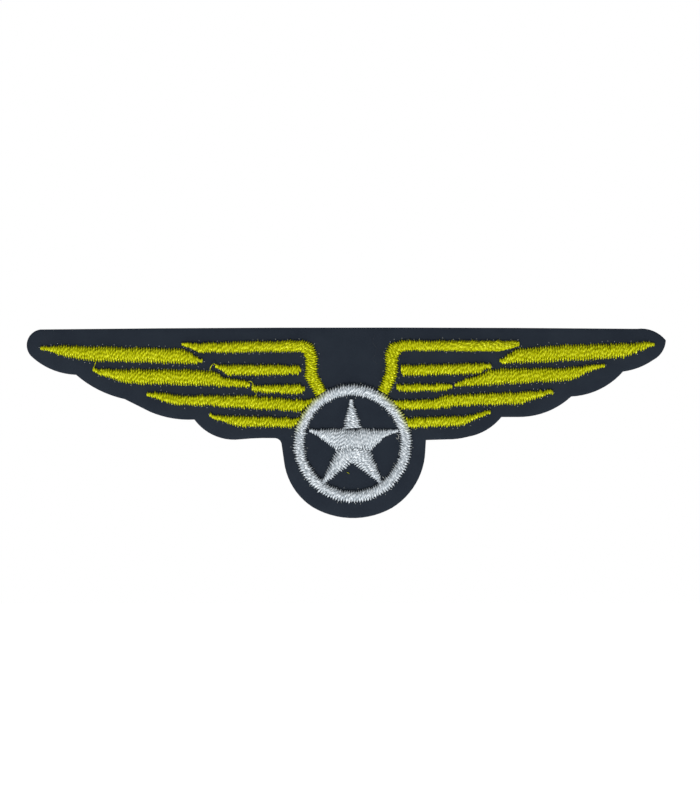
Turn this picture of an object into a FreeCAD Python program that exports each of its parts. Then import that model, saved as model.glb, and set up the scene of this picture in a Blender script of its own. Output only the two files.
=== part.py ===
import FreeCAD, Part

import os

# Pilot wings: a cloth badge worn upright on a jacket, held by two nail posts and
# two butterfly clutches.  Units are millimetres.
#
# Frame: +Z is up and +X is to the right of someone who faces the badge.  The badge
# faces -Y.  Its back face is the plane y = 0, and the origin is the point of that
# plane behind the centre of the ring.

Vector = FreeCAD.Vector
BACKWARDS = Vector(0, 1, 0)

# Driving dimensions ---------------------------------------------------------

# Thickness of each layer of the laminate, from the back face to the front.
BACKING_FELT = 0.6
STIFFENER = 0.5
INTERLINING = 0.4
ADHESIVE_FILM = 0.2
STABILIZER = 0.2
FACE_CLOTH = 0.5

# Height of the stitching over the face cloth.
FEATHER_HEIGHT = 0.6
RING_HEIGHT = 0.8
STAR_HEIGHT = 0.7

RING_OUTER_RADIUS = 9.2
RING_INNER_RADIUS = 7.5

# Nail posts, one behind each wing.
POST_SPACING = 44.0
POST_LEVEL = 10.5
HEAD_RADIUS = 4.5
POST_RADIUS = 0.6
STEM_END = 6.4
POINT_END = 7.5
POINT_RADIUS = 0.08
GROOVE_RADIUS = 0.42
GROOVE_LEVEL = 5.6
GROOVE_WIDTH = 0.3

# Butterfly clutches.  Levels are heights over the clutch's own flat base.
GARMENT_GAP = 2.2
CLUTCH_RADIUS = 5.7
CLUTCH_BORE = 0.65
BASE_FLOOR = 0.4
BASE_WALL = 0.3
BASE_HEIGHT = 1.8
CRIMP_LEVEL = 1.5
CRIMP_INNER_RADIUS = 4.9
CAP_SHEET = 0.3
CAP_FLANGE_RADIUS = 5.35
CAP_RADIUS = 4.7
CAP_TOP = 2.9
CAP_SHOULDER = 0.7
CAP_HOLE = 1.1
SPRING_RADIUS = 3.9
SPRING_SHEET = 0.2
SPRING_TOP = 2.1
SPRING_GAP_WIDTH = 2.4

# Wing levers of the clutch.
LEVER_SHEET = 0.3
LEVER_WIDTH = 3.0
LEVER_PIVOT = 2.75
JAW_LEVEL = 1.6
JAW_NOTCH = 0.68
JAW_GAP = 0.12
EAR_LEVEL = 3.2
EAR_WIDTH = 5.2
EAR_NECK = 1.0
EAR_SIDE = 1.7
EAR_LENGTH = 3.3
EAR_FLARE = 35.0
SLOT_CLEARANCE = 0.25

# Levels worked out from the layers, from the back to the front.
STIFFENER_BACK = -BACKING_FELT
INTERLINING_BACK = STIFFENER_BACK - STIFFENER
FILM_BACK = INTERLINING_BACK - INTERLINING
STABILIZER_BACK = FILM_BACK - ADHESIVE_FILM
FACE_BACK = STABILIZER_BACK - STABILIZER
FACE_FRONT = FACE_BACK - FACE_CLOTH

POST_PLACES = {
    "left": Vector(-POST_SPACING / 2, 0, POST_LEVEL),
    "right": Vector(POST_SPACING / 2, 0, POST_LEVEL),
}

# Outline of the badge, all points as (x, z).  Each stretch is (end,) where it is
# straight, or (a point on the way, end) where it is an arc.
OUTLINE_START = (-48.8, 17.8)
OUTLINE = [
    ((-3.0, 18.1), (44.5, 17.9)),
    ((47.4, 17.4), (49.0, 16.1)),
    ((48.6, 14.6), (47.0, 13.0)),
    ((45.2, 12.0), (42.3, 11.2)),
    ((39.0, 8.6), (34.2, 7.3)),
    ((30.6, 5.0), (25.9, 4.1)),
    ((23.3, 4.1),),
    ((21.0, 2.1), (18.0, 1.0)),
    ((16.5, 0.7), (14.8, 0.6)),
    ((11.5, 0.5),),
    ((11.4, -1.2),),
    ((10.3, -5.6), (6.2, -10.1)),
    ((0.1, -11.7), (-6.2, -10.0)),
    ((-9.2, -7.0), (-10.7, -2.8)),
    ((-11.1, 0.0),),
    ((-11.4, 0.5), (-12.2, 0.8)),
    ((-14.7, 0.8), (-17.6, 0.6)),
    ((-21.8, 1.3), (-24.7, 3.7)),
    ((-28.2, 3.9), (-31.6, 4.9)),
    ((-35.6, 6.9),),
    ((-39.8, 8.4), (-43.2, 10.7)),
    ((-47.4, 11.7), (-50.1, 13.5)),
    ((-50.9, 15.6), OUTLINE_START),
]

# Satin columns of the wings, as corner points (x, z) in order.  Roots that reach
# the ring run a little way under it and are trimmed to it.
LEFT_WING = {
    "left_leading_bar": [
        (-26.6, 15.6), (-16.5, 15.8), (-7.4, 16.1), (-6.1, 15.4), (-5.5, 14.0),
        (-5.5, 10.7), (-4.0, 8.1), (-5.5, 7.0), (-7.4, 10.5), (-7.3, 13.3),
        (-8.2, 14.4), (-23.6, 14.1),
    ],
    "left_first_primary": [
        (-48.8, 14.9), (-46.2, 15.3), (-26.6, 14.8), (-25.5, 14.4), (-23.5, 12.9),
        (-24.2, 12.4), (-35.2, 12.7), (-41.0, 12.8), (-45.0, 13.6),
    ],
    "left_second_primary": [
        (-40.6, 11.6), (-28.0, 11.6), (-21.5, 11.3), (-20.3, 10.3), (-16.4, 9.7),
        (-16.1, 9.2), (-16.4, 8.8), (-27.0, 9.1), (-35.5, 9.4), (-39.6, 10.8),
    ],
    "left_third_primary": [
        (-32.2, 7.6), (-30.8, 8.0), (-26.6, 7.5), (-16.5, 7.5), (-6.0, 6.6),
        (-7.0, 4.9), (-15.8, 5.4), (-22.6, 5.9), (-28.0, 6.1),
    ],
    "left_fourth_primary": [
        (-22.4, 4.5), (-18.5, 4.3), (-8.0, 3.9), (-8.4, 2.5), (-18.0, 2.6),
        (-21.9, 4.0),
    ],
    "left_upper_covert": [
        (-21.5, 12.1), (-20.5, 12.3), (-8.5, 12.2), (-8.1, 11.6), (-8.3, 10.7),
        (-19.3, 10.6),
    ],
    "left_lower_covert": [
        (-15.7, 9.0), (-8.2, 9.2), (-7.5, 8.6), (-7.9, 7.7), (-15.0, 8.0),
        (-15.8, 8.4),
    ],
}
RIGHT_WING = {
    "right_leading_bar": [
        (26.0, 15.2), (25.7, 16.0), (7.7, 16.1), (5.9, 15.5), (5.1, 14.2),
        (5.2, 11.2), (3.9, 8.1), (5.4, 7.1), (7.0, 10.4), (7.1, 13.3),
        (8.3, 14.5), (22.8, 14.4),
    ],
    "right_first_primary": [
        (22.9, 12.9), (25.6, 14.8), (31.8, 15.3), (46.3, 15.8), (47.1, 15.4),
        (42.6, 13.4), (31.0, 12.7), (23.4, 12.5),
    ],
    "right_second_primary": [
        (15.9, 9.3), (17.8, 10.1), (19.8, 10.7), (21.4, 11.5), (22.9, 11.7),
        (33.2, 11.8), (38.4, 12.3), (39.3, 12.1), (34.0, 9.8), (25.3, 9.3),
        (16.0, 8.9),
    ],
    "right_third_primary": [
        (6.0, 6.6), (12.9, 6.9), (14.3, 7.5), (30.9, 8.3), (31.3, 8.0),
        (26.7, 6.2), (16.3, 5.8), (13.2, 5.4), (7.0, 5.3),
    ],
    "right_fourth_primary": [
        (8.0, 4.0), (18.5, 4.4), (21.0, 5.1), (21.5, 4.8), (17.4, 2.8),
        (8.4, 2.4),
    ],
    "right_upper_covert": [
        (7.7, 12.2), (18.7, 12.5), (21.2, 12.4), (21.6, 12.0), (19.6, 10.9),
        (7.9, 10.5), (7.5, 11.3),
    ],
    "right_lower_covert": [
        (7.0, 9.2), (15.1, 9.3), (15.5, 8.8), (14.5, 8.2), (7.4, 8.1),
        (6.8, 8.6),
    ],
}

# The star, as (x, z): its tips, the inner corners between them, and the two points
# inside it where its stitched sections meet.
TOP_TIP = (-0.2, 6.6)
LEFT_TIP = (-6.9, 1.9)
RIGHT_TIP = (7.2, 1.9)
LEFT_FOOT = (-4.7, -6.3)
RIGHT_FOOT = (4.5, -6.3)
LEFT_SHOULDER = (-1.4, 2.3)
RIGHT_SHOULDER = (1.5, 2.1)
LEFT_HIP = (-2.7, -1.1)
RIGHT_HIP = (2.9, -1.2)
CROTCH = (-0.1, -3.1)
COLLAR = (0.0, 2.2)
WAIST = (0.0, -0.3)
STAR = {
    "star_top_point": [TOP_TIP, RIGHT_SHOULDER, COLLAR, LEFT_SHOULDER],
    "star_left_arm": [LEFT_TIP, LEFT_SHOULDER, COLLAR, WAIST, LEFT_HIP],
    "star_right_arm": [RIGHT_TIP, RIGHT_SHOULDER, COLLAR, WAIST, RIGHT_HIP],
    "star_left_leg": [LEFT_FOOT, LEFT_HIP, WAIST, CROTCH],
    "star_right_leg": [RIGHT_FOOT, RIGHT_HIP, WAIST, CROTCH],
}


# Shapes used by several pieces ------------------------------------------------


def at(point, y):
    """The 3-D point for an outline point (x, z) on the plane at y."""
    return Vector(point[0], y, point[1])


def slab(face, depth):
    """A flat face on an XZ plane, thickened backwards."""
    return face.extrude(BACKWARDS * depth)


def polygon_slab(points, y, depth):
    """A straight-sided slab that starts at the plane y and goes backwards."""
    corners = [at(p, y) for p in points]
    return slab(Part.Face(Part.makePolygon(corners + corners[:1])), depth)


def cylinder(radius, y, depth, place=Vector()):
    """A round bar along Y through a place on the badge."""
    foot = Vector(place.x, y, place.z)
    return Part.makeCylinder(radius, depth, foot, BACKWARDS)


def turned(edges):
    """A solid turned about the Y axis from a closed profile in the XY plane."""
    face = Part.Face(Part.Wire(edges))
    return face.revolve(Vector(), BACKWARDS, 360)


def turned_polygon(points):
    """A turned solid whose profile has straight sides, as (radius, level)."""
    corners = [Vector(r, h, 0) for r, h in points]
    return turned(Part.makePolygon(corners + corners[:1]).Edges)


def badge_face(y):
    """The badge's outline as a face on the plane y."""
    edges = []
    start = OUTLINE_START
    for stretch in OUTLINE:
        end = stretch[-1]
        if len(stretch) == 1:
            edges.append(Part.LineSegment(at(start, y), at(end, y)).toShape())
        else:
            edges.append(Part.Arc(at(start, y), at(stretch[0], y), at(end, y)).toShape())
        start = end
    return Part.Face(Part.Wire(edges))


def cloth_layer(back, thickness, hole_radius=0.0):
    """One layer of the laminate, with a hole for each post where it has them."""
    layer = slab(badge_face(back - thickness), thickness)
    if not hole_radius:
        return layer
    holes = [
        cylinder(hole_radius, back - thickness, thickness, place)
        for place in POST_PLACES.values()
    ]
    return layer.cut(Part.makeCompound(holes))


# The stitching ------------------------------------------------------------------


def ring(y, depth):
    outer = cylinder(RING_OUTER_RADIUS, y, depth)
    return outer.cut(cylinder(RING_INNER_RADIUS, y, depth))


def feather(points, y, depth):
    """One satin column of a wing, stopped where the ring covers it."""
    return polygon_slab(points, y, depth).cut(cylinder(RING_OUTER_RADIUS, y, depth))


def star_section(points, y, depth):
    """One satin section of the star, stopped at the ring."""
    section = polygon_slab(points, y, depth)
    return section.common(cylinder(RING_INNER_RADIUS, y, depth))


def stitching_parts():
    """The satin on the face cloth, one piece for each column."""
    parts = {"star_ring": ring(FACE_FRONT - RING_HEIGHT, RING_HEIGHT)}
    for name, points in (LEFT_WING | RIGHT_WING).items():
        parts[name] = feather(points, FACE_FRONT - FEATHER_HEIGHT, FEATHER_HEIGHT)
    for name, points in STAR.items():
        parts[name] = star_section(points, FACE_FRONT - STAR_HEIGHT, STAR_HEIGHT)
    return parts


def reverse_stitching_parts():
    """The bobbin thread behind the stabilizer, sunk into the adhesive film."""
    y = STABILIZER_BACK
    wings = {"left_wing": LEFT_WING, "right_wing": RIGHT_WING}
    parts = {
        name + "_reverse_stitching": Part.makeCompound(
            [feather(points, y, ADHESIVE_FILM) for points in wing.values()]
        )
        for name, wing in wings.items()
    }
    parts["ring_reverse_stitching"] = ring(y, ADHESIVE_FILM)
    parts["star_reverse_stitching"] = Part.makeCompound(
        [star_section(points, y, ADHESIVE_FILM) for points in STAR.values()]
    )
    return parts


# The laminate ---------------------------------------------------------------------


def adhesive_film(stitching):
    """The melted film, which fills the space that the bobbin thread leaves."""
    film = cloth_layer(FILM_BACK, ADHESIVE_FILM)
    for piece in stitching.values():
        film = film.cut(piece)
    return film


def laminate_parts(reverse_stitching):
    return {
        "face_cloth": cloth_layer(FACE_BACK, FACE_CLOTH),
        "stabilizer": cloth_layer(STABILIZER_BACK, STABILIZER),
        "adhesive_film": adhesive_film(reverse_stitching),
        "interlining": cloth_layer(INTERLINING_BACK, INTERLINING, HEAD_RADIUS),
        "stiffener": cloth_layer(STIFFENER_BACK, STIFFENER, POST_RADIUS),
        "backing_felt": cloth_layer(0.0, BACKING_FELT, POST_RADIUS),
    }


# The posts ------------------------------------------------------------------------


def nail_post():
    """A nail with a flat head, and a groove near its point that catches a loose clutch."""
    head_back = INTERLINING_BACK
    groove_end = GROOVE_LEVEL + GROOVE_WIDTH
    return turned_polygon([
        (0, FILM_BACK), (HEAD_RADIUS, FILM_BACK), (HEAD_RADIUS, head_back),
        (POST_RADIUS, head_back), (POST_RADIUS, GROOVE_LEVEL),
        (GROOVE_RADIUS, GROOVE_LEVEL), (GROOVE_RADIUS, groove_end),
        (POST_RADIUS, groove_end), (POST_RADIUS, STEM_END),
        (POINT_RADIUS, POINT_END), (0, POINT_END),
    ])


# The clutches ---------------------------------------------------------------------
# Built about the Y axis with the base on y = 0, then moved onto a post.


def clutch_base():
    """A cup with a bore in its floor and its rim crimped over the cap's flange."""
    inner = CLUTCH_RADIUS - BASE_WALL
    return turned_polygon([
        (CLUTCH_BORE, 0), (CLUTCH_RADIUS, 0), (CLUTCH_RADIUS, BASE_HEIGHT),
        (CRIMP_INNER_RADIUS, BASE_HEIGHT), (CRIMP_INNER_RADIUS, CRIMP_LEVEL),
        (inner, CRIMP_LEVEL), (inner, BASE_FLOOR), (CLUTCH_BORE, BASE_FLOOR),
    ])


def quarter_arc(start, end, centre):
    """A quarter circle in the profile plane, from start to end about a centre."""
    radius = (start - centre).Length
    middle = centre + ((start + end) / 2 - centre).normalize() * radius
    return Part.Arc(start, middle, end).toShape()


def clutch_cap():
    """A pressed dome with a flange below, and a slot for each wing lever."""
    flange_bottom = CRIMP_LEVEL - CAP_SHEET
    shoulder_level = CAP_TOP - CAP_SHOULDER
    shoulder = Vector(CAP_RADIUS - CAP_SHOULDER, shoulder_level, 0)
    inner_radius = CAP_RADIUS - CAP_SHEET
    below_top = CAP_TOP - CAP_SHEET
    up_the_outside = [
        Vector(inner_radius, flange_bottom, 0), Vector(CAP_FLANGE_RADIUS, flange_bottom, 0),
        Vector(CAP_FLANGE_RADIUS, CRIMP_LEVEL, 0), Vector(CAP_RADIUS, CRIMP_LEVEL, 0),
        Vector(CAP_RADIUS, shoulder_level, 0),
    ]
    across_the_top = [
        Vector(shoulder.x, CAP_TOP, 0), Vector(CAP_HOLE, CAP_TOP, 0),
        Vector(CAP_HOLE, below_top, 0), Vector(shoulder.x, below_top, 0),
    ]
    inside = [Vector(inner_radius, shoulder_level, 0), Vector(inner_radius, flange_bottom, 0)]
    edges = Part.makePolygon(up_the_outside).Edges
    edges.append(quarter_arc(up_the_outside[-1], across_the_top[0], shoulder))
    edges += Part.makePolygon(across_the_top).Edges
    edges.append(quarter_arc(across_the_top[-1], inside[0], shoulder))
    edges += Part.makePolygon(inside).Edges
    return turned(edges).cut(lever_slot(1)).cut(lever_slot(-1))


def lever_slot(side):
    """The space that a lever's upright needs in the top of the cap."""
    width = LEVER_WIDTH + 2 * SLOT_CLEARANCE
    thickness = LEVER_SHEET + 2 * SLOT_CLEARANCE
    low_side = side * LEVER_PIVOT - thickness / 2
    corner = Vector(-width / 2, CAP_TOP - 2 * CAP_SHEET, low_side)
    return Part.makeBox(width, 3 * CAP_SHEET, thickness, corner)


def clutch_spring():
    """An open band that stands on the base and closes round both levers."""
    depth = SPRING_TOP - BASE_FLOOR
    band = cylinder(SPRING_RADIUS + SPRING_SHEET / 2, BASE_FLOOR, depth)
    band = band.cut(cylinder(SPRING_RADIUS - SPRING_SHEET / 2, BASE_FLOOR, depth))
    corner = Vector(0, BASE_FLOOR, -SPRING_GAP_WIDTH / 2)
    return band.cut(Part.makeBox(CLUTCH_RADIUS, depth, SPRING_GAP_WIDTH, corner))


def lever_ear():
    """The lobed tab that a finger presses, flared outwards from the upright."""
    neck = LEVER_WIDTH / 2
    side = EAR_WIDTH / 2
    corners = [
        Vector(side, EAR_SIDE, 0), Vector(side, EAR_NECK, 0), Vector(neck, 0, 0),
        Vector(-neck, 0, 0), Vector(-side, EAR_NECK, 0), Vector(-side, EAR_SIDE, 0),
    ]
    edges = Part.makePolygon(corners).Edges
    edges.append(Part.Arc(corners[-1], Vector(0, EAR_LENGTH, 0), corners[0]).toShape())
    ear = Part.Face(Part.Wire(edges)).extrude(Vector(0, 0, LEVER_SHEET))
    ear.translate(Vector(0, 0, -LEVER_SHEET / 2))
    ear.rotate(Vector(), Vector(1, 0, 0), EAR_FLARE)
    ear.translate(Vector(0, EAR_LEVEL, LEVER_PIVOT))
    return ear


def upper_lever():
    """A jaw that half surrounds the stem, an upright through the cap, and an ear."""
    left = -LEVER_WIDTH / 2
    outer = LEVER_PIVOT + LEVER_SHEET / 2
    jaw = Part.makeBox(
        LEVER_WIDTH, LEVER_SHEET, outer - JAW_GAP, Vector(left, JAW_LEVEL, JAW_GAP)
    )
    upright_height = EAR_LEVEL + LEVER_SHEET / 2 - JAW_LEVEL
    upright = Part.makeBox(
        LEVER_WIDTH, upright_height, LEVER_SHEET, Vector(left, JAW_LEVEL, outer - LEVER_SHEET)
    )
    notch = cylinder(JAW_NOTCH, JAW_LEVEL, LEVER_SHEET)
    return jaw.fuse([upright, lever_ear()]).cut(notch).removeSplitter()


def clutch_parts():
    upper = upper_lever()
    lower = upper.mirror(Vector(), Vector(0, 0, 1))
    return {
        "clutch_base": clutch_base(),
        "clutch_cap": clutch_cap(),
        "clutch_spring": clutch_spring(),
        "clutch_upper_wing": upper,
        "clutch_lower_wing": lower,
    }


def moved(shape, offset):
    copy = shape.copy()
    copy.translate(offset)
    return copy


def fastening_parts():
    """Both posts, and the clutch on each."""
    parts = {}
    for side, place in POST_PLACES.items():
        parts[side + "_nail_post"] = moved(nail_post(), place)
        for name, shape in clutch_parts().items():
            parts[side + "_" + name] = moved(shape, place + BACKWARDS * GARMENT_GAP)
    return parts


# The whole badge --------------------------------------------------------------------


def single(shape):
    """The solid itself, where a boolean cut has wrapped it in a compound."""
    solids = shape.Solids
    return solids[0] if len(solids) == 1 else Part.makeCompound(solids)


def all_parts():
    reverse_stitching = reverse_stitching_parts()
    return (
        laminate_parts(reverse_stitching)
        | stitching_parts()
        | reverse_stitching
        | fastening_parts()
    )


def main():
    os.makedirs("parts", exist_ok=True)
    for name, shape in all_parts().items():
        shape = single(shape)
        print(name, len(shape.Solids), "solids", round(shape.Volume, 2), "mm3", shape.isValid())
        shape.exportStep("parts/" + name + ".step")


main()
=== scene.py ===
import math

import bpy
import numpy as np
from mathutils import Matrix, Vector
from mathutils.geometry import delaunay_2d_cdt

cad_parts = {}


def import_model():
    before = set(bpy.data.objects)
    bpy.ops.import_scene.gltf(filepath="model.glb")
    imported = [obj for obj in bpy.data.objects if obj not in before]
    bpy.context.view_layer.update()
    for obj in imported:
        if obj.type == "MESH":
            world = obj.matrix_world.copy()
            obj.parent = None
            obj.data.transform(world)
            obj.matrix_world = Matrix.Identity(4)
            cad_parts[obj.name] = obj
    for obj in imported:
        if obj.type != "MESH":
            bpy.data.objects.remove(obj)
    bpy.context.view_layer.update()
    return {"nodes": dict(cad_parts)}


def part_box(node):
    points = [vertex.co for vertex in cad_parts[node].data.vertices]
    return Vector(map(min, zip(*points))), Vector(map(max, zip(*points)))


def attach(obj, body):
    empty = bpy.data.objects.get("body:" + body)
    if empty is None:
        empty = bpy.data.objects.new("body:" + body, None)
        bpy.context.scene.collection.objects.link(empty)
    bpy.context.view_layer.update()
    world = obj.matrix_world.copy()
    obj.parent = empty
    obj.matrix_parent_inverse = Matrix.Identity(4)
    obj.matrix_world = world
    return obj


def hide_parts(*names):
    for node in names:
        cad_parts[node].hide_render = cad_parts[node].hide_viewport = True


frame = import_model()

rng = np.random.default_rng(7)

MM = 0.001
# The stitched face looks along -Y.
FRONT = -1.0
UPWARD = np.array([0.0, 1.0])

# Stitches and threads, in millimetres.
STITCH_PITCH = 0.39
THREAD_HALF_WIDTH = 0.145
THREAD_HALF_HEIGHT = 0.1
FULL_COLUMN_WIDTH = 1.7
SHORTEST_FLOAT = 0.5
FIRST_STITCH = 0.2
LAST_STITCH = 0.03
END_REACH = 0.1
DIVE = 0.16
TAPER_LENGTH = 0.3
JUMP_RADIUS = 0.07

# How unevenly the floats lie: spreads in millimetres, and SKEW_JITTER as a power.
END_JITTER = 0.07
SIDE_JITTER = 0.015
LIFT_JITTER = 0.012
SKEW_JITTER = 0.16

# The form of a float: counts, powers and shares.
THREAD_SIDES = 6
FLOAT_POINTS = 12
CROWN_FLATNESS = 2.6
CROWN_SHOULDER = 0.9
LEAST_CROWN = 0.35
CROWN_GROWTH = 0.7
DIVE_POWER = 3
TAPER_SHARE = 0.25
TAPER_LEAST = 0.5
STRAND_TIP = 0.6

# The thread's twist and its shading, with painted highlights and painted shade in its colour, the
# depth of its ridges in metres.
PLIES = 2
TWISTS_PER_MM = 1.15
RIDGE_SHADE = 0.11
RIDGE_DEPTH = 0.00005
THREAD_ROUGHNESS = 0.24
SHADE_STEP = 97.0
GLINT_SCALE = 1.6
PAINTED_GLINT_BAND = (0.35, 0.65)
SHINE_BAND = (0.48, 0.6)
LEAST_SHINE = 0.15

# Yellow thread showing through the ring: how much, and over which angles in degrees.
TINGE = 0.85
TINGE_FROM = 10.0
TINGE_TO = 66.0
TINGE_FADE = 12.0

# Specks of under thread beside the columns, in millimetres but for the share. Beside the
# feathers there are none within RING_REACH of the star's middle, where the ring covers them.
PRICK_SPACING = 0.9
PRICK_SHARE = 0.65
PRICK_OUT = (0.1, 0.32)
PRICK_SPREAD = 0.1
PRICK_HALF_LENGTH = (0.05, 0.1)
PRICK_ROOT = -0.03
PRICK_TOP = 0.05
PRICK_RADIUS = 0.045
RING_REACH = 9.6

# Loose fibres on the felt, in millimetres.
FIBRES = 2600
FIBRE_HALF_LENGTH = (0.2, 0.6)
FIBRE_RISE = (0.04, 0.12)
FIBRE_RADIUS = 0.012
FIBRE_BEND = 0.2
FIBRE_ROOTS = (-0.03, -0.02)

# The other surfaces, with the face cloth's weave and grain in metres.
MOTTLE_BAND = (0.3, 0.7)
GRAIN_FINENESS = 6
CLOTH_MOTTLE_SCALE = 260
CLOTH_GRAIN_SCALE = 3500
CLOTH_GRAIN_DEPTH = 0.00004
WEAVE_PITCH = 0.00028
WEAVE_SHARE = 0.35

# The shallow hollows in the face cloth.
HOLLOWS = 24
HOLLOW_SINK = 0.2

# Reading outlines from the frame, in millimetres.
CORNER_DECIMALS = 4
SAME_LEVEL = 0.001

# The mesh of a sheet. SOFT_EDGE pairs how far out with how deep, as shares of the rounding.
SOFT_EDGE = ((0.7, 0.3), (1.0, 1.0))
SHEET_SHARP_FROM = 25.0
RIM_CLEARANCE = 0.6
INSIDE_ONLY = 1
SAME_POINT = 1e-7
TINY = 1e-9

# Edges of the metal parts: the weld in metres, the roundings in millimetres, angles in degrees.
WELD_DISTANCE = 0.000002
THIN_EDGE = 0.03
SHEET_EDGE = 0.08
BEVEL_SEGMENTS = 2
BEVEL_FROM = 35
METAL_SHARP_FROM = 30.0

# The camera and the floor, in millimetres.
LENS = 85
SENSOR_WIDTH = 36
VIEW_HEIGHT = 125.0
VIEW_CENTRE = (-0.375, 6.77)
FLOOR_HALF_SIZE = 3000.0
FLOOR_LEVEL = -350.0

# The lights, in metres, the camera's near limit, and the white surround's strength as a light.
KEY_PLACE = (-0.06, -0.31, -0.29)
FILL_PLACE = (0.1, -0.5, 0.2)
LIT_PLACE = (0, 0, 0.005)
NEAR_LIMIT = 0.01
SURROUND_LIGHT = 0.34

# Columns that bend or taper, as rungs from one edge to the other, (x, z) each.
RUNGS = {
    "left_leading_bar": [
        ((-26.6, 15.7), (-26.5, 15.3)),
        ((-24.4, 15.7), (-23.6, 14.1)),
        ((-7.4, 16.1), (-8.2, 14.4)),
        ((-6.1, 15.4), (-7.6, 14.2)),
        ((-5.5, 14.0), (-7.3, 13.3)),
        ((-5.5, 10.9), (-7.4, 10.5)),
        ((-4.0, 8.1), (-5.6, 7.1)),
    ],
    "right_leading_bar": [
        ((26.0, 15.8), (25.9, 15.1)),
        ((25.4, 16.0), (22.8, 14.4)),
        ((7.7, 16.1), (8.3, 14.5)),
        ((5.9, 15.5), (7.5, 14.3)),
        ((5.1, 14.2), (7.1, 13.3)),
        ((5.2, 11.2), (7.0, 10.4)),
        ((3.9, 8.2), (5.5, 7.3)),
    ],
    "star_top_point": [
        ((-0.5, 6.7), (0.15, 6.7)),
        ((-0.5, 6.1), (0.15, 6.0)),
        ((-0.8, 5.1), (0.6, 5.0)),
        ((-1.4, 2.4), (1.4, 2.6)),
        ((-1.2, 2.0), (1.7, 2.3)),
    ],
    "star_left_arm": [
        ((-6.6, 2.2), (-6.6, 1.7)),
        ((-5.6, 2.1), (-5.4, 1.2)),
        ((-1.8, 2.3), (-2.6, -1.1)),
        ((0.5, 2.2), (0.3, -1.4)),
    ],
    "star_right_arm": [
        ((7.0, 2.2), (7.0, 1.8)),
        ((5.6, 2.1), (5.2, 1.2)),
        ((1.8, 2.3), (2.8, -1.2)),
        ((-0.3, 2.0), (-0.1, -1.4)),
    ],
    "star_left_leg": [
        ((-4.9, -6.2), (-4.6, -6.5)),
        ((-2.6, -1.1), (-0.1, -3.1)),
        ((-0.6, 0.1), (0.6, -1.7)),
    ],
    "star_right_leg": [
        ((4.8, -6.1), (4.5, -6.4)),
        ((2.8, -1.1), (0.0, -3.1)),
        ((0.7, 0.1), (-0.6, -1.7)),
    ],
}

LEFT_FEATHERS = (
    "left_first_primary",
    "left_second_primary",
    "left_third_primary",
    "left_fourth_primary",
    "left_upper_covert",
    "left_lower_covert",
)
RIGHT_FEATHERS = tuple(name.replace("left", "right") for name in LEFT_FEATHERS)
STAR_SECTIONS = [name for name in RUNGS if name.startswith("star")]

# Threads carried from one column to the next, as (x, z, height) points.
JUMP_STITCHES = [
    [(-40.2, 13.1, 0.1), (-40.1, 12.5, 0.4), (-40.4, 11.8, 0.3), (-40.5, 11.3, 0.1)],
    [(-22.3, 11.0, 0.3), (-22.1, 11.9, 0.6), (-21.7, 12.4, 0.6), (-21.2, 12.2, 0.3)],
    [(-16.6, 9.4, 0.2), (-15.9, 9.7, 0.6), (-15.5, 9.2, 0.6), (-15.6, 8.4, 0.2)],
    [(-15.1, 8.2, 0.2), (-15.0, 7.7, 0.4), (-15.2, 7.2, 0.1)],
    [(21.2, 11.4, 0.2), (21.5, 12.0, 0.5), (21.4, 12.6, 0.2)],
]


# Small helpers --------------------------------------------------------------------------


def front_level(node):
    """Where a node's front face lies along y, in millimetres."""
    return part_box(node)[0][1] / MM


CLOTH_FRONT = front_level("face_cloth")


def new_mesh(name, points, faces):
    """A mesh object from points in millimetres and a list of faces."""
    mesh = bpy.data.meshes.new(name)
    mesh.from_pydata((np.asarray(points) * MM).tolist(), [], [list(map(int, f)) for f in faces])
    mesh.validate()
    obj = bpy.data.objects.new(name, mesh)
    bpy.context.collection.objects.link(obj)
    return obj


def smooth(obj, sharp_from=180.0):
    """Smooth shading, but for edges that turn more sharply than an angle in degrees."""
    obj.data.polygons.foreach_set("use_smooth", np.ones(len(obj.data.polygons), dtype=bool))
    obj.data.set_sharp_from_angle(angle=math.radians(sharp_from))
    return obj


def finish_piece(obj, body, material, slot, *nodes):
    """What every piece needs: a material, a body to ride on, and the nodes it stands for."""
    obj.data.materials.append(material)
    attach(obj, body)
    if nodes:
        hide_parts(*nodes)


# Reading an outline from the frame ------------------------------------------------------


def flat_outlines(node, level):
    """The closed outlines (x, z) in millimetres of a node's flat face at y = level."""
    mesh = frame["nodes"][node].data
    keys = [tuple(round(c / MM, CORNER_DECIMALS) for c in v.co) for v in mesh.vertices]
    arrows = set()
    for polygon in mesh.polygons:
        corners = [keys[i] for i in polygon.vertices]
        if all(abs(c[1] - level) < SAME_LEVEL for c in corners):
            arrows.update(zip(corners, corners[1:] + corners[:1]))
    following = {a: b for a, b in arrows if (b, a) not in arrows}
    loops = []
    while following:
        start = next(iter(sorted(following)))
        loop = [start]
        while following.get(loop[-1]) in following and following[loop[-1]] != start:
            loop.append(following.pop(loop[-1]))
        following.pop(loop[-1], None)
        loops.append(np.array([(c[0], c[2]) for c in loop]))
    return sorted(loops, key=lambda loop: -abs(signed_area(loop)))


def signed_area(loop):
    """An outline's area, negative when it runs clockwise."""
    x, z = loop.T
    return float(np.dot(x, np.roll(z, -1)) - np.dot(z, np.roll(x, -1))) / 2


def front_outline(node):
    """The outer outline of a node's front face."""
    return flat_outlines(node, front_level(node))[0]


def line_hits(loop, point, direction):
    """Where a line through a point meets the outline, as distances from the point in order."""
    a, b = loop, np.roll(loop, -1, axis=0)
    across = np.array([-direction[1], direction[0]])
    side_a, side_b = (a - point) @ across, (b - point) @ across
    crosses = (side_a < 0) != (side_b < 0)
    share = side_a[crosses] / (side_a[crosses] - side_b[crosses])
    hits = a[crosses] + share[:, None] * (b[crosses] - a[crosses])
    return np.sort((hits - point) @ direction)


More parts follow.
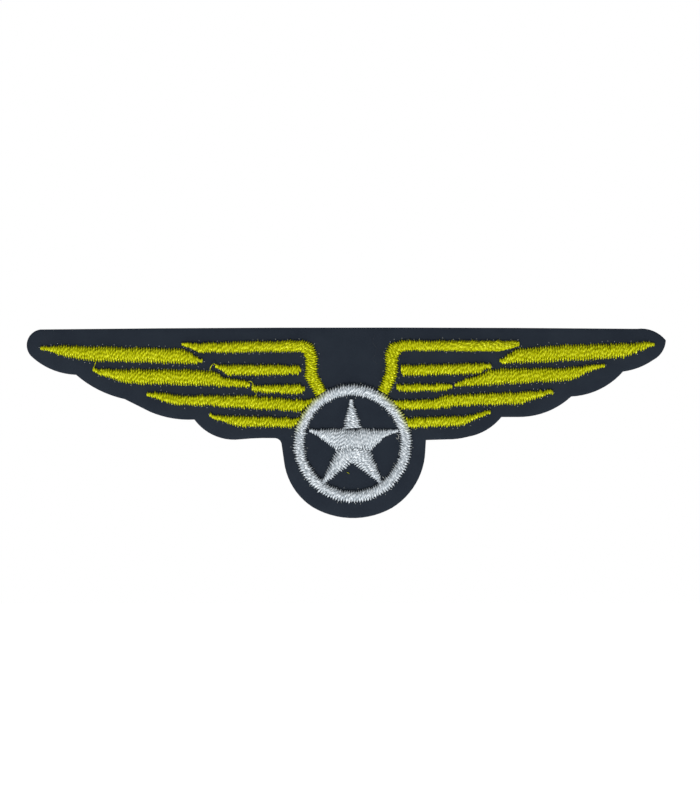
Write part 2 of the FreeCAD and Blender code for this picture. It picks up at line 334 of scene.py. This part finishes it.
def chord(loop, point, direction):
    """How far a line through a point runs, backwards and forwards, to the outline."""
    along = line_hits(loop, point, direction)
    before, after = along[along <= 0], along[along > 0]
    if len(before) == 0 or len(after) == 0:
        return None
    return before[-1], after[0]


# Threads --------------------------------------------------------------------------------


def float_profile(share):
    """Height over the cloth along one float, from 0 at its holes to 1 at its middle."""
    return (1 - np.abs(2 * share - 1) ** CROWN_FLATNESS) ** CROWN_SHOULDER


def thread_floats(starts, ends, heights):
    """Points of many floats, each a flattened tube over the padding.

    starts and ends are (x, z) needle holes and heights the peak of each float.
    """
    count = len(starts)
    share = (1 - np.cos(np.linspace(0, math.pi, FLOAT_POINTS))) / 2
    skew = np.exp(rng.normal(0, SKEW_JITTER, (count, 1)))
    rise = float_profile(share ** skew)
    run = ends - starts
    length = np.linalg.norm(run, axis=1, keepdims=True)
    forward = run / length
    side = np.stack([forward[:, 1], -forward[:, 0]], axis=1)
    bow = rng.normal(0, SIDE_JITTER, count)[:, None, None] * np.sin(math.pi * share)[None, :, None]
    flat = starts[:, None] + run[:, None] * share[None, :, None] + side[:, None] * bow
    lift = heights[:, None] * rise - DIVE * (1 - rise) ** DIVE_POWER
    slope = np.gradient(lift, axis=1) / (np.gradient(share) * length)
    tilt = np.arctan(slope)
    from_end = np.minimum(share, 1 - share)[None] * length
    taper_length = np.minimum(TAPER_LENGTH, length * TAPER_SHARE)
    taper = np.clip(from_end / taper_length, TAPER_LEAST, 1)[..., None]
    angles = np.linspace(0, 2 * math.pi, THREAD_SIDES, endpoint=False)
    across = np.cos(angles) * THREAD_HALF_WIDTH * taper
    up = np.sin(angles) * THREAD_HALF_HEIGHT * taper
    lean = -np.sin(tilt)[..., None] * up
    points = np.empty((count, FLOAT_POINTS, THREAD_SIDES, 3))
    for axis, part in ((0, 0), (2, 1)):
        sideways = side[:, part, None, None] * across
        leaning = forward[:, part, None, None] * lean
        points[..., axis] = flat[..., part, None] + sideways + leaning
    points[..., 1] = CLOTH_FRONT + FRONT * (lift[..., None] + np.cos(tilt)[..., None] * up)
    return points


def tube_faces(count, rings, sides):
    """Quads that join each tube's rings, for tubes laid one after another."""
    i = np.arange(rings - 1)[:, None] * sides
    j = np.arange(sides)[None]
    k = (np.arange(sides)[None] + 1) % sides
    quads = np.stack([i + j, i + k, i + sides + k, i + sides + j], axis=-1).reshape(-1, 4)
    starts = np.arange(count)[:, None, None] * rings * sides
    return (starts + quads[None]).reshape(-1, 4)


def tube_uvs(rings, sides, begins, lengths):
    """Along the thread in millimetres, and once round it, for every corner of the quads."""
    v = np.arange(sides) / sides
    corner_ring = np.array([0, 0, 1, 1])
    corner_step = np.array([0, 1, 1, 0])
    ring = (np.arange(rings - 1)[:, None, None] + corner_ring) / (rings - 1)
    around = v[None, :, None] + corner_step / sides
    ring = np.broadcast_to(ring, (rings - 1, sides, 4))
    around = np.broadcast_to(around, (rings - 1, sides, 4))
    u = begins[:, None, None, None] + ring[None] * lengths[:, None, None, None]
    return np.stack([u, np.broadcast_to(around[None], u.shape)], axis=-1).reshape(-1, 2)


def thread_object(name, floats, begins, lengths):
    """One mesh of all the floats, with a shade for each and a map along the thread.

    begins says how much thread lies before each float.
    """
    count, rings, sides, _ = floats.shape
    faces = tube_faces(count, rings, sides)
    obj = new_mesh(name, floats.reshape(-1, 3), faces)
    mesh = obj.data
    shade = np.repeat(rng.random(count), rings * sides)
    mesh.attributes.new("shade", "FLOAT", "POINT").data.foreach_set("value", shade)
    uv = mesh.uv_layers.new(name="along")
    uv.data.foreach_set("uv", tube_uvs(rings, sides, begins, lengths).ravel())
    return smooth(obj)


def smooth_line(points, steps):
    """Places spread evenly along a smooth curve through the given points."""
    points = np.array(points, float)
    before, after = 2 * points[0] - points[1], 2 * points[-1] - points[-2]
    padded = np.vstack([before, points, after])
    at = np.linspace(0, len(points) - 1, steps)
    span = np.minimum(at.astype(int), len(points) - 2)
    t = (at - span)[:, None]
    p0, p1, p2, p3 = (padded[span + k] for k in range(4))
    return 0.5 * (
        2 * p1
        + (p2 - p0) * t
        + (2 * p0 - 5 * p1 + 4 * p2 - p3) * t**2
        + (3 * p1 - p0 - 3 * p2 + p3) * t**3
    )


def strand(points, radius, steps=10):
    """Rings of points round a smooth thread through the given points, thin at its ends."""
    middle = smooth_line(points, steps)
    forward = np.gradient(middle, axis=0)
    forward /= np.linalg.norm(forward, axis=1, keepdims=True)
    side = np.cross(forward, (0.0, 1.0, 0.0))
    side /= np.linalg.norm(side, axis=1, keepdims=True)
    other = np.cross(side, forward)
    angles = np.linspace(0, 2 * math.pi, THREAD_SIDES, endpoint=False)
    round_it = np.cos(angles)[:, None] * side[:, None] + np.sin(angles)[:, None] * other[:, None]
    thick = np.full(steps, radius)
    thick[[0, -1]] *= STRAND_TIP
    return middle[:, None] + round_it * thick[:, None, None]


def strands_object(name, strands):
    """One mesh of several loose strands."""
    count = len(strands)
    return thread_object(name, np.array(strands), np.zeros(count), np.ones(count))


def satin(name, lows, highs, top):
    """A satin column: the thread runs low, high, low, high from hole to hole.

    lows and highs are the needle holes along the column's two edges, in order, and
    top is how far the column stands over the cloth.
    """
    middles = (lows + highs) / 2
    reach = highs - lows
    width = np.linalg.norm(reach, axis=1, keepdims=True)
    over = reach / width
    half = width / 2 + END_REACH
    lows = middles - over * (half + rng.normal(0, END_JITTER, width.shape))
    highs = middles + over * (half + rng.normal(0, END_JITTER, width.shape))
    starts = np.concatenate([lows, highs[:-1]])
    ends = np.concatenate([highs, lows[1:]])
    lengths = np.linalg.norm(ends - starts, axis=1)
    full = top - THREAD_HALF_HEIGHT
    heights = full * np.clip(lengths / FULL_COLUMN_WIDTH, LEAST_CROWN, 1) ** CROWN_GROWTH
    heights = heights + rng.normal(0, LIFT_JITTER, len(heights))
    forth, back = lengths[:len(lows)], lengths[len(lows):]
    before = np.concatenate([[0.0], np.cumsum(forth[:-1] + back)])
    begins = np.concatenate([before, (before + forth)[:-1]])
    return thread_object(name, thread_floats(starts, ends, heights), begins, lengths)


def column_top(node):
    """How far a column stands over the cloth, in millimetres."""
    return CLOTH_FRONT - front_level(node)


def edges_along(loop, spots):
    """Needle holes on a feather's lower and upper edges, for spots along its middle."""
    lows, highs = [], []
    for spot in spots:
        found = chord(loop, spot, UPWARD)
        if found is None:
            continue
        middle = sum(found) / 2
        half = max(found[1] - found[0], SHORTEST_FLOAT) / 2
        lows.append(spot + UPWARD * (middle - half))
        highs.append(spot + UPWARD * (middle + half))
    return np.array(lows), np.array(highs)


def middle_spots(loop):
    """Spots one stitch apart along the middle of a feather that runs mostly along x."""
    first, last = loop[:, 0].min() + FIRST_STITCH, loop[:, 0].max() - LAST_STITCH
    spots = []
    for x in np.linspace(first, last, round((last - first) / STITCH_PITCH) + 1):
        heights = line_hits(loop, np.array([x, 0.0]), UPWARD)
        spots.append((x, (heights[0] + heights[-1]) / 2))
    return np.array(spots)


def feather(node):
    """A feather's column, its stitches upright and one pitch apart."""
    loop = front_outline(node)
    lows, highs = edges_along(loop, middle_spots(loop))
    return satin(node + "_satin", lows, highs, column_top(node))


def runged_column(node):
    """A column given by rungs, its stitches one pitch apart along the longer edge."""
    rungs = np.array(RUNGS[node])
    lows, highs = [], []
    for here, there in zip(rungs, rungs[1:]):
        count = max(1, round(np.linalg.norm(there - here, axis=1).max() / STITCH_PITCH))
        for k in range(count):
            low, high = here + (there - here) * k / count
            lows.append(low)
            highs.append(high)
    return satin(node + "_satin", np.array(lows), np.array(highs), column_top(node))


def ring():
    """The satin ring round the star, its stitches along the spokes."""
    outlines = flat_outlines("star_ring", front_level("star_ring"))
    outer, inner = (float(np.linalg.norm(loop, axis=1).mean()) for loop in outlines)
    count = round(math.pi * (outer + inner) / STITCH_PITCH)
    angle = np.linspace(0, 2 * math.pi, count + 1)
    spoke = np.stack([np.cos(angle), np.sin(angle)], axis=1)
    obj = satin("star_ring_satin", spoke * inner, spoke * outer, column_top("star_ring"))
    add_tinge(obj.data, inner, outer)
    return obj


def add_tinge(mesh, inner, outer):
    """Marks where yellow thread shows through the ring, on its outer half over the wings."""
    place = np.array([(v.co.x, v.co.z) for v in mesh.vertices]) / MM
    share = (np.hypot(*place.T) - (inner + outer) / 2) / (outer - inner) * 2
    rise = np.degrees(np.arctan2(place[:, 1], np.abs(place[:, 0])))
    into_wing = np.clip((rise - TINGE_FROM) / TINGE_FADE, 0, 1)
    out_of_wing = np.clip((TINGE_TO - rise) / TINGE_FADE, 0, 1)
    tinge = TINGE * np.clip(share, 0, 1) * (into_wing * out_of_wing)
    mesh.attributes.new("tinge", "FLOAT", "POINT").data.foreach_set("value", tinge)


# Materials ------------------------------------------------------------------------------


class Nodes:
    """A material with a few short ways to add and join its nodes."""

    def __init__(self, name):
        self.material = bpy.data.materials.new(name)
        self.material.use_nodes = True
        self.tree = self.material.node_tree
        self.shader = self.tree.nodes["Principled BSDF"]

    def add(self, kind, **settings):
        node = self.tree.nodes.new(kind)
        for key, value in settings.items():
            setattr(node, key, value)
        return node

    def link(self, source, target):
        self.tree.links.new(source, target)
        return self

    def set(self, **values):
        for key, value in values.items():
            self.shader.inputs[key.replace("_", " ")].default_value = value
        return self

    def noise(self, scale, detail=3.0, vector=None):
        node = self.add("ShaderNodeTexNoise")
        node.inputs["Scale"].default_value = scale
        node.inputs["Detail"].default_value = detail
        if vector is not None:
            self.link(vector, node.inputs["Vector"])
        return node.outputs["Fac"]

    def place(self):
        return self.add("ShaderNodeTexCoord").outputs["Object"]

    def ramp(self, factor, low, high, start=0.0, end=1.0):
        node = self.add("ShaderNodeValToRGB")
        node.color_ramp.elements[0].color = (*low, 1)
        node.color_ramp.elements[1].color = (*high, 1)
        node.color_ramp.elements[0].position = start
        node.color_ramp.elements[1].position = end
        self.link(factor, node.inputs["Fac"])
        return node.outputs["Color"]

    def maths(self, operation, first, second=0.0):
        node = self.add("ShaderNodeMath", operation=operation)
        for socket, value in zip(node.inputs, (first, second)):
            if isinstance(value, (int, float)):
                socket.default_value = value
            else:
                self.link(value, socket)
        return node.outputs["Value"]

    def mottle(self, factor, dark, light):
        """Colours the surface softly between dark and light."""
        self.link(self.ramp(factor, dark, light, *MOTTLE_BAND), self.shader.inputs["Base Color"])
        return self

    def bump(self, height, distance, strength=1.0):
        node = self.add("ShaderNodeBump")
        node.inputs["Distance"].default_value = distance
        node.inputs["Strength"].default_value = strength
        self.link(height, node.inputs["Height"])
        self.link(node.outputs["Normal"], self.shader.inputs["Normal"])
        return self


def thread_material(name, dark, light, shine, tinge):
    """Twisted embroidery thread: each float its own shade, with ply ridges and small glints. The
    glints and ridges also run the colour from dark to light, as painted highlights and painted
    shade.

    tinge is the colour it takes where another thread shows through.
    """
    nodes = Nodes(name).set(Roughness=THREAD_ROUGHNESS)
    nodes.shader.inputs["Specular Tint"].default_value = (*shine, 1)
    shade = nodes.add("ShaderNodeAttribute", attribute_name="shade").outputs["Fac"]
    parts = nodes.add("ShaderNodeSeparateXYZ")
    nodes.link(nodes.add("ShaderNodeUVMap", uv_map="along").outputs["UV"], parts.inputs["Vector"])
    along = nodes.maths("MULTIPLY", parts.outputs["X"], TWISTS_PER_MM)
    turns = nodes.maths("MULTIPLY", nodes.maths("ADD", along, parts.outputs["Y"]), PLIES)
    place = nodes.add("ShaderNodeCombineXYZ")
    nodes.link(turns, place.inputs["X"])
    nodes.link(nodes.maths("MULTIPLY", shade, SHADE_STEP), place.inputs["Y"])
    glints = nodes.noise(GLINT_SCALE, detail=1, vector=place.outputs["Vector"])
    ridge = nodes.maths("SINE", nodes.maths("MULTIPLY", turns, 2 * math.pi))
    mixed = nodes.maths("ADD", nodes.maths("MULTIPLY", ridge, RIDGE_SHADE), glints)
    blend = nodes.add("ShaderNodeMix", data_type="RGBA", blend_type="MIX")
    amount = nodes.add("ShaderNodeAttribute", attribute_name="tinge").outputs["Fac"]
    nodes.link(amount, blend.inputs["Factor"])
    # Painted highlights and painted shade: the colour goes from dark to light with the glints and
    # ridges.
    nodes.link(nodes.ramp(mixed, dark, light, *PAINTED_GLINT_BAND), blend.inputs["A"])
    blend.inputs["B"].default_value = (*tinge, 1)
    nodes.link(blend.outputs["Result"], nodes.shader.inputs["Base Color"])
    shining = nodes.ramp(mixed, (LEAST_SHINE,) * 3, (1, 1, 1), *SHINE_BAND)
    nodes.link(shining, nodes.shader.inputs["Specular IOR Level"])
    nodes.bump(ridge, RIDGE_DEPTH)
    return nodes.material


def cloth_material(name, dark, light):
    """A smooth fine cloth, matt, with a faint weave and soft mottling."""
    nodes = Nodes(name).set(Roughness=0.82, Specular_IOR_Level=0.25)
    nodes.set(Sheen_Weight=0.08, Sheen_Roughness=0.4)
    place = nodes.place()
    nodes.mottle(nodes.noise(CLOTH_MOTTLE_SCALE, detail=4, vector=place), dark, light)
    parts = nodes.add("ShaderNodeSeparateXYZ")
    nodes.link(place, parts.inputs["Vector"])
    waves = []
    for axis in ("X", "Z"):
        turn = nodes.maths("MULTIPLY", parts.outputs[axis], 2 * math.pi / WEAVE_PITCH)
        waves.append(nodes.maths("SINE", turn))
    weave = nodes.maths("MULTIPLY", nodes.maths("MULTIPLY", *waves), WEAVE_SHARE)
    grain = nodes.maths("ADD", weave, nodes.noise(CLOTH_GRAIN_SCALE, detail=2, vector=place))
    nodes.bump(grain, distance=CLOTH_GRAIN_DEPTH, strength=0.5)
    return nodes.material


def plain_material(name, dark, light, roughness, metallic=0.0, scale=500, depth=0.00003):
    """A surface with a little mottling and grain, for layers and metal."""
    nodes = Nodes(name).set(Roughness=roughness, Metallic=metallic)
    place = nodes.place()
    nodes.mottle(nodes.noise(scale, detail=4, vector=place), dark, light)
    grain = nodes.noise(scale * GRAIN_FINENESS, vector=place)
    nodes.bump(grain, distance=depth, strength=0.5)
    return nodes.material


# The cloth sheets -----------------------------------------------------------------------


def resampled(loop, step):
    """The outline again with points about one step apart, its own corners kept."""
    points = []
    for a, b in zip(loop, np.roll(loop, -1, axis=0)):
        pieces = max(1, round(float(np.linalg.norm(b - a)) / step))
        points += [a + (b - a) * k / pieces for k in range(pieces)]
    return np.array(points)


def inside(loop, points):
    """Which of the points lie inside an outline."""
    a, b = loop, np.roll(loop, -1, axis=0)
    x, z = points[:, 0, None], points[:, 1, None]
    spans = (a[:, 1] > z) != (b[:, 1] > z)
    rise = np.where(b[:, 1] == a[:, 1], TINY, b[:, 1] - a[:, 1])
    at = a[:, 0] + (z - a[:, 1]) / rise * (b[:, 0] - a[:, 0])
    return ((spans & (x < at)).sum(axis=1) % 2).astype(bool)


def distance_to(loop, points):
    """How far each point is from an outline."""
    a, b = loop, np.roll(loop, -1, axis=0)
    run = b - a
    best = np.full(len(points), np.inf)
    for start, step in zip(a, run):
        share = np.clip(((points - start) @ step) / max(float(step @ step), TINY), 0, 1)
        best = np.minimum(best, np.linalg.norm(points - start - share[:, None] * step, axis=1))
    return best


def outward(loop):
    """The outward direction at each point of an outline."""
    run = np.roll(loop, -1, axis=0) - np.roll(loop, 1, axis=0)
    normal = np.stack([run[:, 1], -run[:, 0]], axis=1)
    normal /= np.linalg.norm(normal, axis=1, keepdims=True)
    return normal if signed_area(loop) > 0 else -normal


def filling_points(loops, step):
    """A staggered grid of points inside the first outline and outside the others."""
    low, high = loops[0].min(axis=0), loops[0].max(axis=0)
    columns, rows = np.arange(low[0], high[0], step), np.arange(low[1], high[1], step)
    grid = np.stack(np.meshgrid(columns, rows), axis=-1).reshape(-1, 2)
    grid[:, 0] += (np.round((grid[:, 1] - low[1]) / step) % 2) * step / 2
    keep = inside(loops[0], grid)
    for loop in loops:
        keep &= distance_to(loop, grid) > step * RIM_CLEARANCE
    for hole in loops[1:]:
        keep &= ~inside(hole, grid)
    return grid[keep]


def flat_pattern(loops, step):
    """A triangle mesh that fills the first outline and leaves the others open.

    Gives its corners, its triangles, and for each outline the corners along it.
    """
    filling = filling_points(loops, step)
    firsts = np.cumsum([len(filling)] + [len(loop) for loop in loops]).tolist()
    edges = []
    for first, loop in zip(firsts, loops):
        edges += [(first + i, first + (i + 1) % len(loop)) for i in range(len(loop))]
    flat = [Vector(point) for point in np.concatenate([filling, *loops])]
    made = delaunay_2d_cdt(flat, edges, [], INSIDE_ONLY, SAME_POINT)
    corners = np.array([tuple(v) for v in made[0]])
    triangles = np.array(made[2])
    for hole in loops[1:]:
        centres = corners[triangles].mean(axis=1)
        triangles = triangles[~inside(hole, centres)]
    new_place = {old: new for new, olds in enumerate(made[3]) for old in olds}
    rims = []
    for first, loop in zip(firsts, loops):
        rims.append(np.array([new_place[first + i] for i in range(len(loop))]))
    return corners, triangles, rims


def at_level(flat, level):
    """Flat points (x, z) as points in space at a level along y."""
    return np.stack([flat[:, 0], np.broadcast_to(level, len(flat)), flat[:, 1]], axis=1)


def sheet_mesh(name, loops, front, back, relief, rounding, step):
    """A closed sheet between two levels, its cut edge rounded.

    relief(points) gives how far the front stands proud at each point.
    """
    rims = [resampled(loop, step) for loop in loops]
    inner = [rims[0] - outward(rims[0]) * rounding]
    inner += [rim + outward(rim) * rounding for rim in rims[1:]]
    flat, triangles, rim_ids = flat_pattern(inner, step)
    if signed_area(flat[triangles[0]]) > 0:
        triangles = triangles[:, ::-1]
    count = len(flat)
    points = [at_level(flat, front - relief(flat)), at_level(flat, back)]
    faces = [list(t[::-1]) for t in triangles]
    faces += [list(t + count) for t in triangles]
    depth = back - front
    soft = min(rounding, depth / 2)
    front_curve = [(share, soft * deep) for share, deep in SOFT_EDGE]
    back_curve = [(share, depth - level) for share, level in reversed(front_curve)]
    at = 2 * count
    for rim, edge, ids in zip(rims, inner, rim_ids):
        rows = [ids]
        for share, level in front_curve + back_curve:
            points.append(at_level(edge + (rim - edge) * share, front + level))
            rows.append(np.arange(at, at + len(rim)))
            at += len(rim)
        rows.append(ids + count)
        for upper, lower in zip(rows, rows[1:]):
            quads = np.stack([upper, np.roll(upper, -1), np.roll(lower, -1), lower], axis=1)
            faces += [list(q[::-1]) for q in quads]
    return new_mesh(name, np.concatenate(points), faces)


# The scene ------------------------------------------------------------------------------


def camera():
    """Level and straight on, aimed above the star's middle."""
    data = bpy.data.cameras.new("camera")
    data.lens = LENS
    data.sensor_width = SENSOR_WIDTH
    obj = bpy.data.objects.new("camera", data)
    distance = VIEW_HEIGHT * LENS / SENSOR_WIDTH
    across, up = VIEW_CENTRE
    obj.location = Vector((across, CLOTH_FRONT - distance, up)) * MM
    obj.rotation_euler = (math.radians(90), 0, 0)
    data.clip_start = NEAR_LIMIT
    bpy.context.collection.objects.link(obj)
    bpy.context.scene.camera = obj


def area_light(name, place, target, size, power):
    """A round soft light, in metres and watts."""
    data = bpy.data.lights.new(name, "AREA")
    data.shape = "DISK"
    data.size = size
    data.energy = power
    obj = bpy.data.objects.new(name, data)
    obj.location = place
    obj.rotation_euler = (Vector(target) - Vector(place)).to_track_quat("-Z", "Y").to_euler()
    obj.visible_camera = False
    bpy.context.collection.objects.link(obj)


def world():
    """White to the eye, and a softer white as a source of light."""
    made = bpy.data.worlds.new("studio")
    made.use_nodes = True
    tree = made.node_tree
    background = tree.nodes["Background"]
    background.inputs["Color"].default_value = (1, 1, 1, 1)
    path = tree.nodes.new("ShaderNodeLightPath")
    strength = tree.nodes.new("ShaderNodeMapRange")
    strength.inputs["To Min"].default_value = SURROUND_LIGHT
    strength.inputs["To Max"].default_value = 1.0
    tree.links.new(path.outputs["Is Camera Ray"], strength.inputs["Value"])
    tree.links.new(strength.outputs["Result"], background.inputs["Strength"])
    bpy.context.scene.world = made


def floor():
    """A plain pale floor far below the badge, which glows a little to stay near white."""
    size = FLOOR_HALF_SIZE
    sides = ((-size, -size), (size, -size), (size, size), (-size, size))
    obj = new_mesh("floor", [(x, y, FLOOR_LEVEL) for x, y in sides], [(0, 1, 2, 3)])
    nodes = Nodes("floor_paint").set(Base_Color=(0.8, 0.8, 0.8, 1), Roughness=0.9)
    nodes.set(Emission_Color=(1, 1, 1, 1), Emission_Strength=0.9)
    obj.data.materials.append(nodes.material)


# Loose details of the embroidery --------------------------------------------------------


def over_cloth(points):
    """Points (x, z, height over the cloth) as (x, y, z)."""
    return [(x, CLOTH_FRONT + FRONT * height, z) for x, z, height in points]


def jump_stitches():
    """The threads carried from column to column."""
    strands = [strand(over_cloth(points), JUMP_RADIUS) for points in JUMP_STITCHES]
    finish_piece(strands_object("jump_stitches", strands), "badge", yellow, "yellow_thread")


def prick(point, out):
    """One speck of under thread beside a column, a short bump that lies along out."""
    x, z = point + out * rng.uniform(*PRICK_OUT) + rng.normal(0, PRICK_SPREAD, 2)
    dx, dz = out * rng.uniform(*PRICK_HALF_LENGTH)
    path = [(x - dx, z - dz, PRICK_ROOT), (x, z, PRICK_TOP), (x + dx, z + dz, PRICK_ROOT)]
    return strand(over_cloth(path), PRICK_RADIUS, steps=5)


def pinpricks():
    """Specks of the under thread that show at needle holes just outside the columns."""
    strands = []
    for node in LEFT_FEATHERS + RIGHT_FEATHERS + ("left_leading_bar", "right_leading_bar"):
        loop = resampled(front_outline(node), PRICK_SPACING)
        clear = np.hypot(*loop.T) > RING_REACH
        for point, out in zip(loop[clear], outward(loop)[clear]):
            if rng.random() < PRICK_SHARE:
                strands.append(prick(point, out))
    outer, inner = flat_outlines("star_ring", front_level("star_ring"))
    for loop, turn in ((outer, 1), (inner, -1)):
        loop = resampled(loop, PRICK_SPACING)
        for point, out in zip(loop, outward(loop)):
            if rng.random() < PRICK_SHARE / 2:
                strands.append(prick(point, out * turn))
    finish_piece(strands_object("pinpricks", strands), "badge", bobbin, "bobbin_thread")


def stray_thread(name, points, radius, material, slot):
    """One loose thread through the points (x, z, height over the cloth)."""
    obj = strands_object(name, [strand(over_cloth(points), radius, steps=16)])
    finish_piece(obj, "badge", material, slot)


def stray_threads():
    """A curl by the star's right tip, two specks of thread inside the ring, and a hair."""
    curl = [(6.9, 1.5, 0.1), (7.2, 1.2, 0.4), (7.1, 0.7, 0.4), (6.8, 0.9, 0.1)]
    stray_thread("thread_curl", curl, radius=0.05, material=bobbin, slot="bobbin_thread")
    speck = [(-0.9, -4.5, 0.02), (-0.7, -4.6, 0.1), (-0.5, -4.8, 0.02)]
    stray_thread("yellow_speck", speck, radius=0.045, material=yellow, slot="yellow_thread")
    speck = [(4.7, -5.2, 0.02), (4.8, -5.3, 0.1), (4.9, -5.4, 0.02)]
    stray_thread("pale_speck", speck, radius=0.06, material=bobbin, slot="bobbin_thread")
    hair = [(3.5, 17.0, 0.05), (3.2, 15.8, 0.15), (3.9, 14.6, 0.1)]
    hair += [(3.2, 13.2, 0.15), (3.9, 12.4, 0.05)]
    stray_thread("hair", hair, radius=0.007, material=lint, slot="bobbin_thread")


# Layers, posts and clutches -------------------------------------------------------------


def level_relief(points):
    """No relief: the sheet lies flat."""
    return np.zeros(len(points))


def wavy(depth, length):
    """Relief of a soft sheet: shallow random hollows about one length across."""
    waves = rng.normal(0, 2 * math.pi / length, (HOLLOWS, 2))
    phases = rng.uniform(0, 2 * math.pi, HOLLOWS)

    def relief(points):
        return depth * np.sin(points @ waves.T + phases).mean(axis=1) - depth * HOLLOW_SINK

    return relief


def layer(node, material, slot, rounding, step, relief):
    """One cloth layer of the laminate as a sheet of its own, cut to the part's outline."""
    low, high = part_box(node)
    front, back = low[1] / MM, high[1] / MM
    loops = flat_outlines(node, front)
    obj = sheet_mesh(node + "_sheet", loops, front, back, relief, rounding, step)
    smooth(obj, SHEET_SHARP_FROM)
    finish_piece(obj, "badge", material, slot, node)


def layers():
    """The five sheets, each with its edge rounding and its mesh step in millimetres."""
    hollows = wavy(depth=0.05, length=6.0)
    layer("face_cloth", navy, "navy_cloth", 0.1, 0.6, hollows)
    layer("stabilizer", fleece, "stabilizer_fleece", 0.04, 2.0, level_relief)
    layer("interlining", wadding, "wadding", 0.1, 2.0, level_relief)
    layer("stiffener", buckram, "buckram", 0.08, 2.0, level_relief)
    layer("backing_felt", felt, "black_felt", 0.15, 1.0, level_relief)


def felt_fibres():
    """Short loose fibres standing off the felt's back."""
    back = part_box("backing_felt")[1][1] / MM
    loop = flat_outlines("backing_felt", back)[0]
    first_root, last_root = FIBRE_ROOTS
    strands = []
    spots = rng.uniform(loop.min(axis=0), loop.max(axis=0), (FIBRES, 2))
    for x, z in spots[inside(loop, spots) & (distance_to(loop, spots) > max(FIBRE_HALF_LENGTH))]:
        turn, reach = rng.uniform(0, 2 * math.pi), rng.uniform(*FIBRE_HALF_LENGTH)
        dx, dz, up = reach * math.cos(turn), reach * math.sin(turn), rng.uniform(*FIBRE_RISE)
        path = [(x - dx, first_root, z - dz), (x, up, z + FIBRE_BEND * dx)]
        path.append((x + dx, last_root, z + dz))
        strands.append(strand(path, FIBRE_RADIUS, steps=5))
    finish_piece(strands_object("felt_fibres", strands), "badge", lint, "black_felt")


def rounded_copy(node, body, material, slot, edge):
    """The node's own shape with its sharp edges rounded by edge millimetres."""
    obj = bpy.data.objects.new(node + "_rounded", frame["nodes"][node].data.copy())
    bpy.context.collection.objects.link(obj)
    obj.data.materials.clear()
    weld = obj.modifiers.new("weld", "WELD")
    weld.merge_threshold = WELD_DISTANCE
    bevel = obj.modifiers.new("bevel", "BEVEL")
    bevel.width = edge * MM
    bevel.segments = BEVEL_SEGMENTS
    bevel.limit_method = "ANGLE"
    bevel.angle_limit = math.radians(BEVEL_FROM)
    smooth(obj, METAL_SHARP_FROM)
    finish_piece(obj, body, material, slot, node)


def fasteners():
    """The nail posts and the clutches, the thinnest parts rounded less."""
    for side in ("left", "right"):
        clutch = side + "_clutch"
        rounded_copy(side + "_nail_post", "badge", nickel, "nickel_plate", THIN_EDGE)
        rounded_copy(clutch + "_base", clutch, brass, "brass_sheet", SHEET_EDGE)
        rounded_copy(clutch + "_cap", clutch, brass, "brass_sheet", SHEET_EDGE)
        rounded_copy(clutch + "_spring", clutch, steel, "spring_steel", THIN_EDGE)
        for wing in ("_upper_wing", "_lower_wing"):
            rounded_copy(clutch + wing, clutch + wing, brass, "brass_sheet", SHEET_EDGE)


def hidden_nodes():
    """Paints the nodes that stay as the part made them: the glue and the under thread."""
    paints = {"adhesive_film": film}
    for node in frame["nodes"]:
        if node.endswith("reverse_stitching"):
            paints[node] = bobbin
    for node, paint in paints.items():
        mesh = frame["nodes"][node].data
        mesh.materials.clear()
        mesh.materials.append(paint)


# Building -------------------------------------------------------------------------------

YELLOW_LIGHT = (0.60, 0.63, 0.003)
yellow = thread_material(
    "yellow_thread",
    dark=(0.29, 0.31, 0.0008),
    light=YELLOW_LIGHT,
    shine=(0.95, 1.0, 0.18),
    tinge=YELLOW_LIGHT,
)
white = thread_material(
    "white_thread",
    dark=(0.36, 0.41, 0.45),
    light=(0.69, 0.74, 0.78),
    shine=(1, 1, 1),
    tinge=YELLOW_LIGHT,
)
bobbin = plain_material("bobbin_thread", (0.24, 0.25, 0.24), (0.37, 0.38, 0.36), 0.6)
lint = plain_material("lint", (0.03, 0.032, 0.038), (0.07, 0.073, 0.08), 0.9)
fleece = plain_material("stabilizer_fleece", (0.03, 0.035, 0.045), (0.05, 0.055, 0.065), 0.9)
film = plain_material("hot_melt_film", (0.04, 0.045, 0.05), (0.07, 0.07, 0.075), 0.4)
wadding = plain_material("wadding", (0.02, 0.025, 0.033), (0.035, 0.04, 0.05), 0.95)
buckram = plain_material("buckram", (0.025, 0.03, 0.038), (0.04, 0.045, 0.055), 0.9)
felt = plain_material(
    "black_felt", (0.009, 0.009, 0.011), (0.030, 0.030, 0.034), 0.95, scale=900, depth=0.00012
)
nickel = plain_material("nickel_plate", (0.55, 0.54, 0.51), (0.72, 0.71, 0.68), 0.25, metallic=1.0)
brass = plain_material("brass_sheet", (0.62, 0.46, 0.20), (0.80, 0.61, 0.30), 0.28, metallic=1.0)
steel = plain_material("spring_steel", (0.35, 0.35, 0.36), (0.50, 0.50, 0.51), 0.32, metallic=1.0)
navy = cloth_material("navy_cloth", (0.0051, 0.0101, 0.0192), (0.0087, 0.0147, 0.0246))

for name in LEFT_FEATHERS + RIGHT_FEATHERS:
    finish_piece(feather(name), "badge", yellow, "yellow_thread", name)
for name in ("left_leading_bar", "right_leading_bar"):
    finish_piece(runged_column(name), "badge", yellow, "yellow_thread", name)
for name in STAR_SECTIONS:
    finish_piece(runged_column(name), "badge", white, "white_thread", name)
finish_piece(ring(), "badge", white, "white_thread", "star_ring")

layers()
hidden_nodes()
jump_stitches()
pinpricks()
stray_threads()
felt_fibres()
fasteners()
floor()
world()
camera()
area_light("key", KEY_PLACE, LIT_PLACE, size=0.06, power=0.98)
area_light("fill", FILL_PLACE, LIT_PLACE, size=0.3, power=0.35)
bpy.context.scene.view_settings.view_transform = "Standard"
